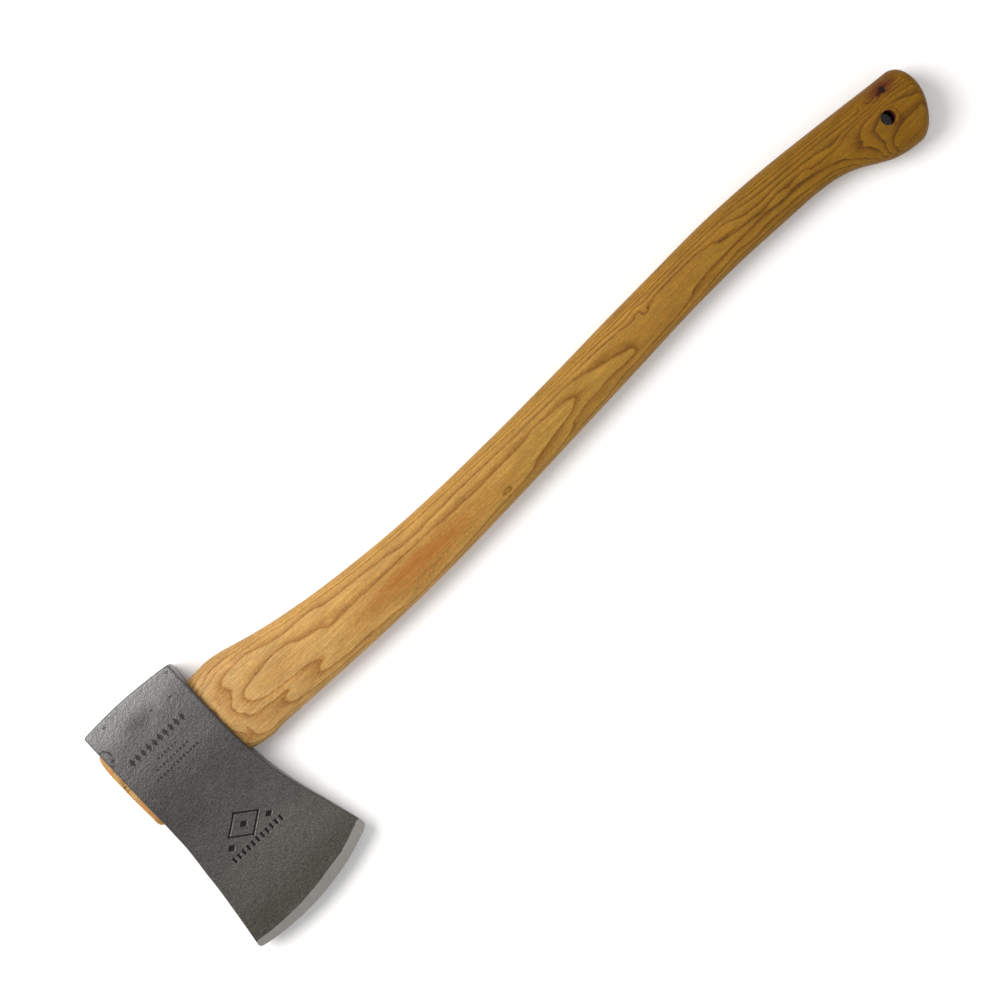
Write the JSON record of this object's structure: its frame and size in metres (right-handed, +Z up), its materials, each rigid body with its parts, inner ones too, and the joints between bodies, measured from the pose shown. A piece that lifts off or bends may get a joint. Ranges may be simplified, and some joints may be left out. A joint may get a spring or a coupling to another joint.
{
  "type": "felling axe",
  "caption": "Felling axe: a forged steel head with a curved cutting edge, wedged on a curved hardwood haft with a swelled knob.",
  "frame": {"origin": "bottom centre of the bounding box of the axe lying on its cheek, so z = 0 is the lowest point of the lower cheek", "axes": "+X along the haft from the head to the knob, +Y towards the poll (the cutting edge faces -Y), +Z up, square to the cheeks"},
  "size_m": [0.7164, 0.187, 0.0311],
  "materials": {
    "forged_steel": "forged, hammered scale under clear lacquer, with ground and polished bevels",
    "hickory": "smooth, oiled, open grain",
    "wedge_wood": "sawn end grain, oiled",
    "wedge_steel": "plain turned steel"
  },
  "bodies": {
    "root": {"axe_head": "forged_steel", "haft": "hickory", "wood_wedge": "wedge_wood", "ring_wedge": "wedge_steel"}
  },
  "joints": []
}
